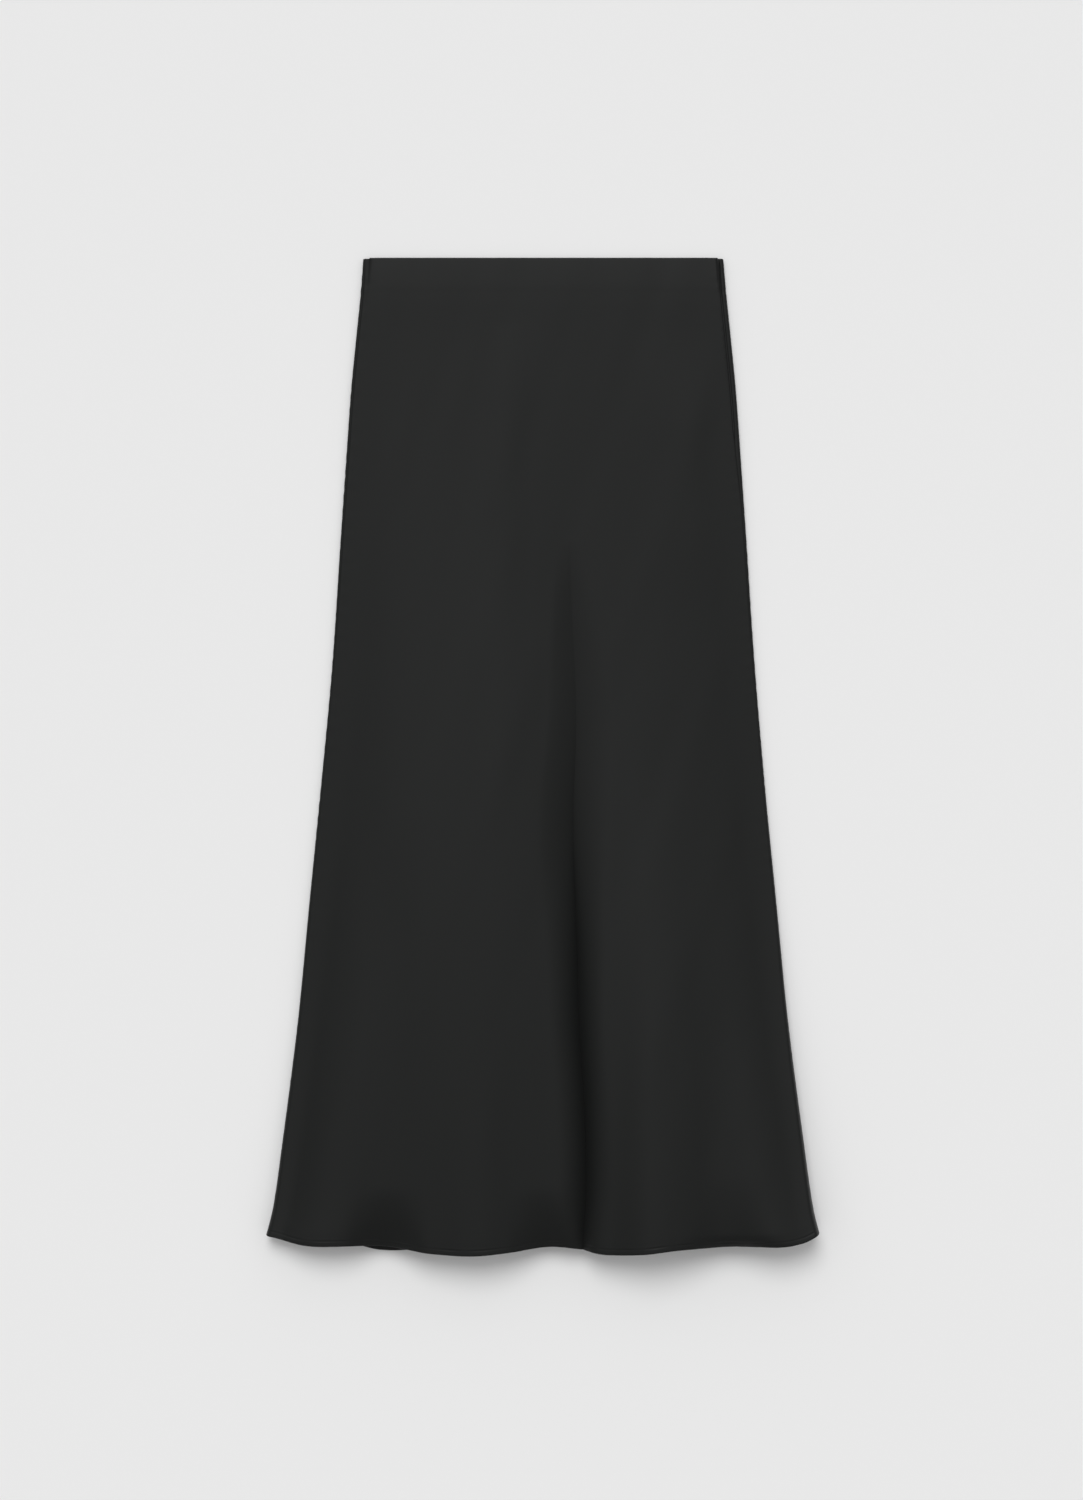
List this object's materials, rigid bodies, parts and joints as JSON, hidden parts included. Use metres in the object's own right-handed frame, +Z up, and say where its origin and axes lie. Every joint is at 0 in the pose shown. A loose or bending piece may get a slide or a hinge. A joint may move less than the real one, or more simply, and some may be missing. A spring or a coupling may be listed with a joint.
{
  "type": "flared midi skirt",
  "caption": "Plain flared midi skirt in smooth dark satin, laid flat with the front up; the hem stands in soft flutes and a concealed zip closes one side seam.",
  "frame": {"origin": "centre of the outline's box on the surface that the skirt lies on", "axes": "+Y runs up the skirt from hem to waist, +Z points up out of the surface, which the front of the skirt faces, and +X is the viewer's right, the wearer's left"},
  "size_m": [0.5025, 0.9074, 0.0444],
  "materials": {
    "charcoal_satin": "smooth satin, soft sheen",
    "charcoal_satin_inside": "matt reverse of the satin",
    "zip_tape": "matt woven tape"
  },
  "bodies": {
    "root": {"front_panel": "charcoal_satin", "back_panel": "charcoal_satin", "front_waist_turning": "charcoal_satin_inside", "back_waist_turning": "charcoal_satin_inside", "front_hem": "charcoal_satin_inside", "back_hem": "charcoal_satin_inside", "side_seam_left": "charcoal_satin_inside", "side_seam_right": "charcoal_satin_inside", "side_zip": "zip_tape"}
  },
  "joints": []
}
